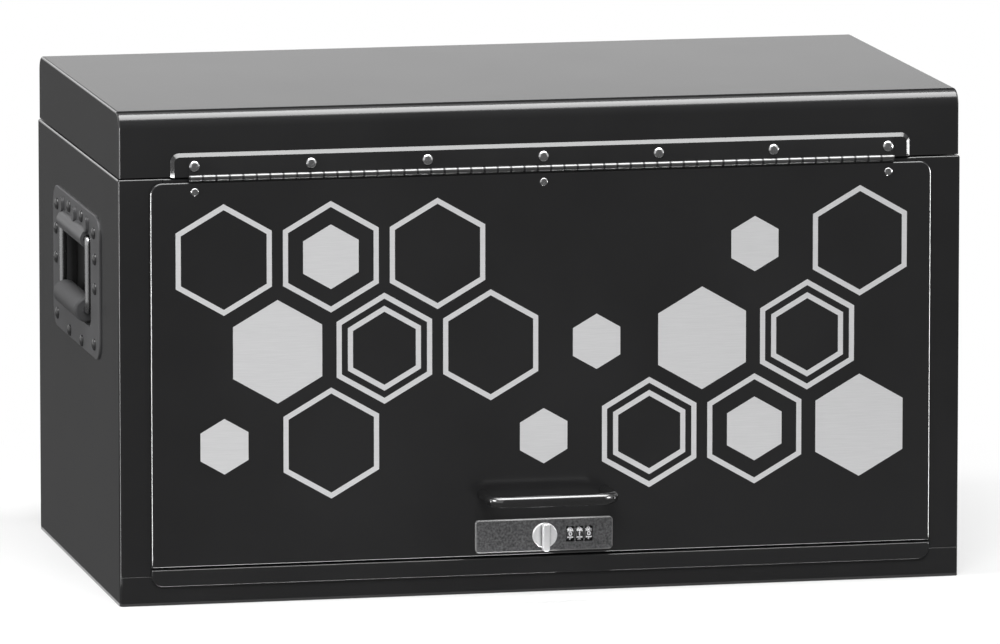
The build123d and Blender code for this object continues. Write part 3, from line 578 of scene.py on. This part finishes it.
# Lock plate and body: die-cast zinc, blasted to a sandy dark grey.
# The plate's bevelled rim, outside its flat middle, is painted lighter, as wear and as a painted highlight.
casting = coat(
    "casting",
    dark=0.035,
    light=0.14,
    smooth=0.42,
    rough=0.6,
    peel_size=1.2 * mm,
    peel_depth=0.4 * mm,
    metallic=0.12,
    drift_size=1.8 * mm,
)
lock_height = 45.15 * mm
flat_half_width = 53.2 * mm
flat_half_height = 11.95 * mm
worn_casting = casting.copy()
worn_casting.name = "worn_casting"
rim_tree = worn_casting.node_tree
from_middle = add_node(
    rim_tree,
    "ShaderNodeVectorMath",
    {0: rim_tree.nodes["Texture Coordinate"].outputs["Object"], 1: (0, 0, lock_height)},
    operation="SUBTRACT",
)
either_side = add_node(
    rim_tree, "ShaderNodeVectorMath", {0: from_middle.outputs["Vector"]}, operation="ABSOLUTE"
)
past_flat = add_node(
    rim_tree,
    "ShaderNodeVectorMath",
    {0: either_side.outputs["Vector"], 1: (flat_half_width, 0, flat_half_height)},
    operation="SUBTRACT",
)
past_parts = add_node(rim_tree, "ShaderNodeSeparateXYZ", {"Vector": past_flat.outputs["Vector"]})
past_edge = add_node(
    rim_tree, "ShaderNodeMath", {0: past_parts.outputs["X"], 1: past_parts.outputs["Z"]}, operation="MAXIMUM"
)
# Wear and painted highlight: the rim outside the flat middle is blended to a lighter grey.
rim_wear_and_highlight = add_node(
    rim_tree,
    "ShaderNodeMapRange",
    {"Value": past_edge.outputs["Value"], "From Min": -0.2 * mm, "From Max": 0.3 * mm},
)
blend_in(rim_tree, "Base Color", rim_wear_and_highlight.outputs["Result"], grey(0.19))
dress(worn_casting, "lock_plate")
dress(casting, "lock_body")
dress(rolled_zinc, "lock_screws", "wheel_axle", "lock_cam", "cam_nut")

# Lock knob: a chromed disc with a finger bar across it, brushed to a satin.
# Painted shade darkens the corners where the bar stands on the disc.
satin_chrome = plated(
    "satin_chrome", dark=0.84, light=0.94, smooth=0.36, rough=0.46, grain=(500, 500, 1400), metallic=0.36
)
knob_tree = satin_chrome.node_tree
# Painted shade: the knob's colour goes dark where ambient occlusion finds the corners round the finger bar.
openness = add_node(knob_tree, "ShaderNodeAmbientOcclusion", {"Distance": 3 * mm}, samples=8)
knob_painted_shade = add_node(
    knob_tree, "ShaderNodeMapRange", {"Value": openness.outputs["AO"], "From Min": 0.92, "From Max": 0.45}
)
blend_in(knob_tree, "Base Color", knob_painted_shade.outputs["Result"], grey(0.06))
dress(satin_chrome, "lock_knob")

# Number wheels: chromed drums with ten flats, one digit stamped and filled in white on each.
# They turn by hand in the plate's windows.
wheel_chrome = plated("wheel_chrome", dark=0.2, light=0.3, smooth=0.12, rough=0.22, grain=(1500, 300, 300))
digit_ink = coat(
    "digit_ink",
    dark=0.72,
    light=0.86,
    smooth=0.4,
    rough=0.5,
    peel_size=0.6 * mm,
    peel_depth=0.01 * mm,
    shine=0.3,
)
wheel_axle_y = -181.8 * mm
wheel_radius = 6.5 * mm
wheel_flats = 10
flat_reach = wheel_radius * math.cos(math.pi / wheel_flats)
digit_height = 3.2 * mm
height_of_type = 0.7
digit_spread = 1.25
digit_thickness = 0.02 * mm
digit_weight = 0.17 * mm
for number, (wheel_x, set_to) in enumerate(((20.4 * mm, 0), (27.7 * mm, 1), (35.0 * mm, 0)), start=1):
    dress(wheel_chrome, f"number_wheel_{number}")
    digits = bmesh.new()
    for step in range(wheel_flats):
        words = bpy.data.curves.new("digit", "FONT")
        words.body = str((set_to + step) % wheel_flats)
        words.size = digit_height / height_of_type
        words.align_x = "CENTER"
        words.align_y = "CENTER"
        words.extrude = digit_thickness
        words.offset = digit_weight
        words.resolution_u = 4
        word_object = set_up("digit", words)
        graph = bpy.context.evaluated_depsgraph_get()
        word_mesh = bpy.data.meshes.new_from_object(word_object.evaluated_get(graph))
        turn = math.pi + 2 * math.pi * step / wheel_flats
        out = Vector((0, math.cos(turn), math.sin(turn)))
        across = Vector((1, 0, 0))
        up = out.cross(across)
        digit_place = Matrix((across * digit_spread, up, out)).transposed().to_4x4()
        digit_place.translation = Vector((wheel_x, wheel_axle_y, lock_height)) + out * flat_reach
        word_mesh.transform(digit_place)
        digits.from_mesh(word_mesh)
        bpy.data.objects.remove(word_object)
        bpy.data.meshes.remove(word_mesh)
    digit_name = f"wheel_{number}_digits"
    digit_piece = set_up(digit_name, to_mesh(digit_name, digits, digit_ink))
    fit(digit_piece, f"wheel_{number}", "wheel_chrome")

# Side handles: a pressed plate with a dish, a hood over the bail's ends and three ribs.
# Painted shade darkens the dish, most at its floor. Domed rivets, coated darker than the plate as painted shade,
# hold the plate, and a bent wire bail carries a moulded rubber grip.
plate_coat = coat(
    "plate_coat",
    dark=0.062,
    light=0.08,
    smooth=0.38,
    rough=0.48,
    peel_size=1.4 * mm,
    peel_depth=0.02 * mm,
    shine=0.28,
)
dish_mouth = 331 * mm
dish_floor = 322 * mm
plate_tree = plate_coat.node_tree
plate_parts = add_node(
    plate_tree, "ShaderNodeSeparateXYZ", {"Vector": plate_tree.nodes["Texture Coordinate"].outputs["Object"]}
)
outward = add_node(plate_tree, "ShaderNodeMath", {0: plate_parts.outputs["X"]}, operation="ABSOLUTE")
# Painted shade: the plate's colour goes nearly black from the dish's mouth down to its floor.
dish_painted_shade = add_node(
    plate_tree,
    "ShaderNodeMapRange",
    {"Value": outward.outputs["Value"], "From Min": dish_mouth, "From Max": dish_floor},
)
blend_in(plate_tree, "Base Color", dish_painted_shade.outputs["Result"], grey(0.012))
dress(plate_coat, "left_handle_plate", "right_handle_plate")
wire = plated("wire", dark=0.3, light=0.42, smooth=0.2, rough=0.32, grain=(600, 600, 60))
dress(wire, "left_bail", "right_bail")
rubber = coat(
    "rubber",
    dark=0.046,
    light=0.058,
    smooth=0.55,
    rough=0.7,
    peel_size=0.8 * mm,
    peel_depth=0.05 * mm,
    shine=0.35,
)
dress(rubber, "left_grip", "right_grip")
# Painted shade: the domed rivets get a coat darker than the plate's, standing in for the shade round their
# heads.
rivet_shade_coat = coat(
    "rivet_shade_coat", dark=0.022, light=0.03, smooth=0.2, rough=0.3, peel_size=1.2 * mm, peel_depth=0.01 * mm
)
rivet_seat = 331.5 * mm
plate_rivet = rivet("plate_rivet", head=4.6 * mm, height=2.3 * mm, shank=2.4 * mm, length=3.5 * mm)
# Distance from the plate's middle and height of each rivet, in millimetres
rivet_spots = [(82.8, 274.5), (27.6, 280.0), (87.0, 254.8), (87.0, 231.8), (82.8, 188.0), (27.6, 182.7)]
both_sides = bmesh.new()
for hand, facing in ((-1, to_left), (1, to_right)):
    places = [(hand * rivet_seat, fore * y * mm, z * mm) for y, z in rivet_spots for fore in (-1, 1)]
    one_side = fastener_row("side_rivets", places, plate_rivet, facing, seed=11, finish=rivet_shade_coat)
    both_sides.from_mesh(one_side.data)
    bpy.data.objects.remove(one_side)
side_mesh = to_mesh("handle_plate_rivets", both_sides, rivet_shade_coat)
shade(side_mesh)
side_rivets = set_up("handle_plate_rivets", side_mesh)
fit(side_rivets, "case", "handle_plate_paint", "handle_rivets")


# Floor: a pale studio table that keeps the chest's shadow and fades into the white behind it.
def white_rays(tree):
    """1 for the rays that see the white studio: camera, glossy and transmission rays."""
    ray = add_node(tree, "ShaderNodeLightPath").outputs
    seen = ray["Is Camera Ray"]
    for other in ("Is Glossy Ray", "Is Transmission Ray"):
        seen = add_node(tree, "ShaderNodeMath", {0: seen, 1: ray[other]}, operation="MAXIMUM").outputs["Value"]
    return seen


floor_reach = 6.0
near_glow = 0.52
fade_start = 0.42
fade_end = 0.8
fade_shape = (1.0, 1.25, 1.0)
floor_mesh = bpy.data.meshes.new("floor")
floor_corners = [(x * floor_reach, y * floor_reach, 0) for x, y in ((-1, -1), (1, -1), (1, 1), (-1, 1))]
floor_mesh.from_pydata(floor_corners, [], [(0, 1, 2, 3)])
floor = set_up("floor", floor_mesh)
pale = bpy.data.materials.new("pale_floor")
pale.use_nodes = True
pale_tree = pale.node_tree
pale_tree.nodes.clear()
seen_white = white_rays(pale_tree)
matt = add_node(pale_tree, "ShaderNodeBsdfDiffuse", {"Color": grey(0.5)})
glow_level = add_node(pale_tree, "ShaderNodeMath", {0: seen_white, 1: near_glow}, operation="MULTIPLY")
glow = add_node(pale_tree, "ShaderNodeEmission", {"Strength": glow_level.outputs["Value"]})
near = add_node(pale_tree, "ShaderNodeAddShader", {0: matt.outputs["BSDF"], 1: glow.outputs["Emission"]})
white = add_node(pale_tree, "ShaderNodeEmission")
clear = add_node(pale_tree, "ShaderNodeBsdfTransparent")
far = add_node(
    pale_tree, "ShaderNodeMixShader", {0: seen_white, 1: clear.outputs["BSDF"], 2: white.outputs["Emission"]}
)
spot = add_node(pale_tree, "ShaderNodeTexCoord")
flatten = add_node(pale_tree, "ShaderNodeMapping", {"Vector": spot.outputs["Object"], "Scale": fade_shape})
distance = add_node(pale_tree, "ShaderNodeVectorMath", {0: flatten.outputs["Vector"]}, operation="LENGTH")
fade = add_node(
    pale_tree,
    "ShaderNodeMapRange",
    {"Value": distance.outputs["Value"], "From Min": fade_start, "From Max": fade_end},
    interpolation_type="SMOOTHSTEP",
)
join = add_node(
    pale_tree,
    "ShaderNodeMixShader",
    {0: fade.outputs["Result"], 1: near.outputs["Shader"], 2: far.outputs["Shader"]},
)
add_node(pale_tree, "ShaderNodeOutputMaterial", {"Surface": join.outputs["Shader"]})
floor_mesh.materials.append(pale)

# Studio: white all round, with a soft light above, one in front and one at the left.
# These three light the paint and the floor, and gloss doesn't show them.
world = bpy.data.worlds.new("studio")
bpy.context.scene.world = world
world.use_nodes = True
studio_tree = world.node_tree
level = add_node(
    studio_tree, "ShaderNodeMapRange", {"Value": white_rays(studio_tree), "To Min": 0.25, "To Max": 1.0}
)
feed(
    studio_tree,
    studio_tree.nodes["Background"],
    {"Color": grey(1.0), "Strength": level.outputs["Result"]},
)


def lamp(name, place, aim, width, height, power):
    """A rectangular soft light at a place, pointed at aim."""
    light = bpy.data.lights.new(name, "AREA")
    light.shape = "RECTANGLE"
    light.size = width
    light.size_y = height
    light.energy = power
    holder = set_up(name, light)
    holder.location = place
    holder.rotation_euler = (Vector(aim) - Vector(place)).to_track_quat("-Z", "Y").to_euler()
    holder.visible_camera = False
    return holder


# Name, place, aim, width and height in metres, watts
for soft_light in (
    ("overhead_strip", (0, -0.15, 1.6), (0, -0.15, 0), 1.9, 0.34, 24),
    ("front_soft", (-0.5, -2.4, 1.7), (0, 0, 0.2), 1.6, 1.4, 50),
    ("left_strip", (-1.9, -0.45, 0.4), (0, -0.1, 0.2), 0.5, 0.8, 16),
):
    lamp(*soft_light).visible_glossy = False

# Cards that only gloss shows: a wide one above and one behind for the lid, slim ones along the cover's
# edges and the left corner, two for the bow handle's bends, and a row of three on the table.
# Each is a lamp as above, with the angle in degrees that its light spreads over.
for *card_lamp, spread in (
    ("card_above", (0, -0.4, 1.55), (0, -0.4, 0), 2.4, 1.0, 40, 120),
    ("card_back", (-0.535, 1.5, 0.67), (-0.33, 0, 0.38), 0.33, 0.24, 0.13, 120),
    ("card_left", (-0.332, -0.191, 0.177), (-0.305, -0.1845, 0.177), 0.009, 0.297, 0.035, 40),
    ("card_right", (0.332, -0.191, 0.189), (0.305, -0.1845, 0.189), 0.009, 0.322, 0.038, 40),
    ("card_corner", (-0.365, -0.203, 0.19), (-0.3294, -0.1794, 0.19), 0.01, 0.36, 0.014, 40),
    ("card_bend_left", (-0.31, -0.265, 0.2), (-0.046, -0.224, 0.078), 0.11, 0.11, 0.022, 30),
    ("card_bend_right", (0.282, -0.36, 0.2), (0.046, -0.226, 0.078), 0.11, 0.11, 0.022, 30),
    ("card_low_left", (-0.149, -0.192, 0.004), (-0.149, -0.192, 1.0), 0.322, 0.01, 0.043, 50),
    ("card_low_wheels", (0.0335, -0.192, 0.004), (0.0335, -0.192, 1.0), 0.043, 0.01, 0.0005, 50),
    ("card_low_right", (0.1825, -0.192, 0.004), (0.1825, -0.192, 1.0), 0.255, 0.01, 0.034, 50),
):
    card = lamp(*card_lamp)
    card.visible_diffuse = False
    card.data.spread = math.radians(spread)

# Flags: grey cloths on the table and round the studio, which only gloss shows, so the sheet stays black.
# Each has its level of grey and its four corners.
flags = {
    "front_flag": (
        0.17,
        [(-1.4, -5.0, 0.002), (2.4, -5.0, 0.002), (2.4, -0.1812, 0.002), (-1.4, -0.1812, 0.002)],
    ),
    "left_flag": (
        0.13,
        [(-1.6, -0.18, 0.002), (-0.3302, -0.18, 0.002), (-0.3302, 5.0, 0.002), (-1.6, 5.0, 0.002)],
    ),
    "front_wall": (0.17, [(-2.0, -3.6, 0.002), (3.0, -3.6, 0.002), (3.0, -3.6, 4.5), (-2.0, -3.6, 4.5)]),
    "right_flag": (0.03, [(0.75, -0.3, 0.0), (0.75, 4.0, 0.0), (0.75, 4.0, 0.37), (0.75, -0.3, 0.37)]),
    "back_cloth": (0.8, [(-0.2, 3.0, 0.3), (4.0, 3.0, 0.3), (4.0, 3.0, 0.98), (-0.2, 3.0, 0.98)]),
    "back_flag": (0.02, [(-2.0, 3.0, 0.98), (4.0, 3.0, 0.98), (4.0, 3.0, 5.0), (-2.0, 3.0, 5.0)]),
}
for name, (shade_of_grey, corners) in flags.items():
    cloth = bpy.data.materials.new(name)
    cloth.use_nodes = True
    feed(
        cloth.node_tree,
        cloth.node_tree.nodes["Principled BSDF"],
        {
            "Base Color": grey(0),
            "Specular IOR Level": 0,
            "Emission Color": grey(1.0),
            "Emission Strength": shade_of_grey,
        },
    )
    flag_mesh = bpy.data.meshes.new(name)
    flag_mesh.from_pydata(corners, [], [(0, 1, 2, 3)])
    flag_mesh.materials.append(cloth)
    flag = set_up(name, flag_mesh)
    flag.visible_camera = False
    flag.visible_diffuse = False
    flag.visible_shadow = False

# Camera: a long lens from the left of the front and a little above.
# It looks at the chest's middle, moved a few millimetres sideways and down.
turn_left = math.radians(-12.087)
look_down = math.radians(8.741)
lens_distance = 8.5302
aim = Vector((0, 0, 0.19))
aim_right = 5.21 * mm
aim_down = 7.43 * mm
level_back = Vector((math.sin(turn_left), -math.cos(turn_left), 0))
back = level_back * math.cos(look_down) + Vector((0, 0, math.sin(look_down)))
right = Vector((math.cos(turn_left), math.sin(turn_left), 0))
above_lens = back.cross(right)
lens = bpy.data.cameras.new("camera")
lens.sensor_fit = "HORIZONTAL"
lens.sensor_width = 36
lens.lens = 392.03
lens.clip_end = 100
camera = set_up("camera", lens)
camera_place = Matrix((right, above_lens, back)).transposed().to_4x4()
camera_place.translation = aim + aim_right * right - aim_down * above_lens + lens_distance * back
camera.matrix_world = camera_place
bpy.context.scene.camera = camera
bpy.context.scene.view_settings.view_transform = "Standard"
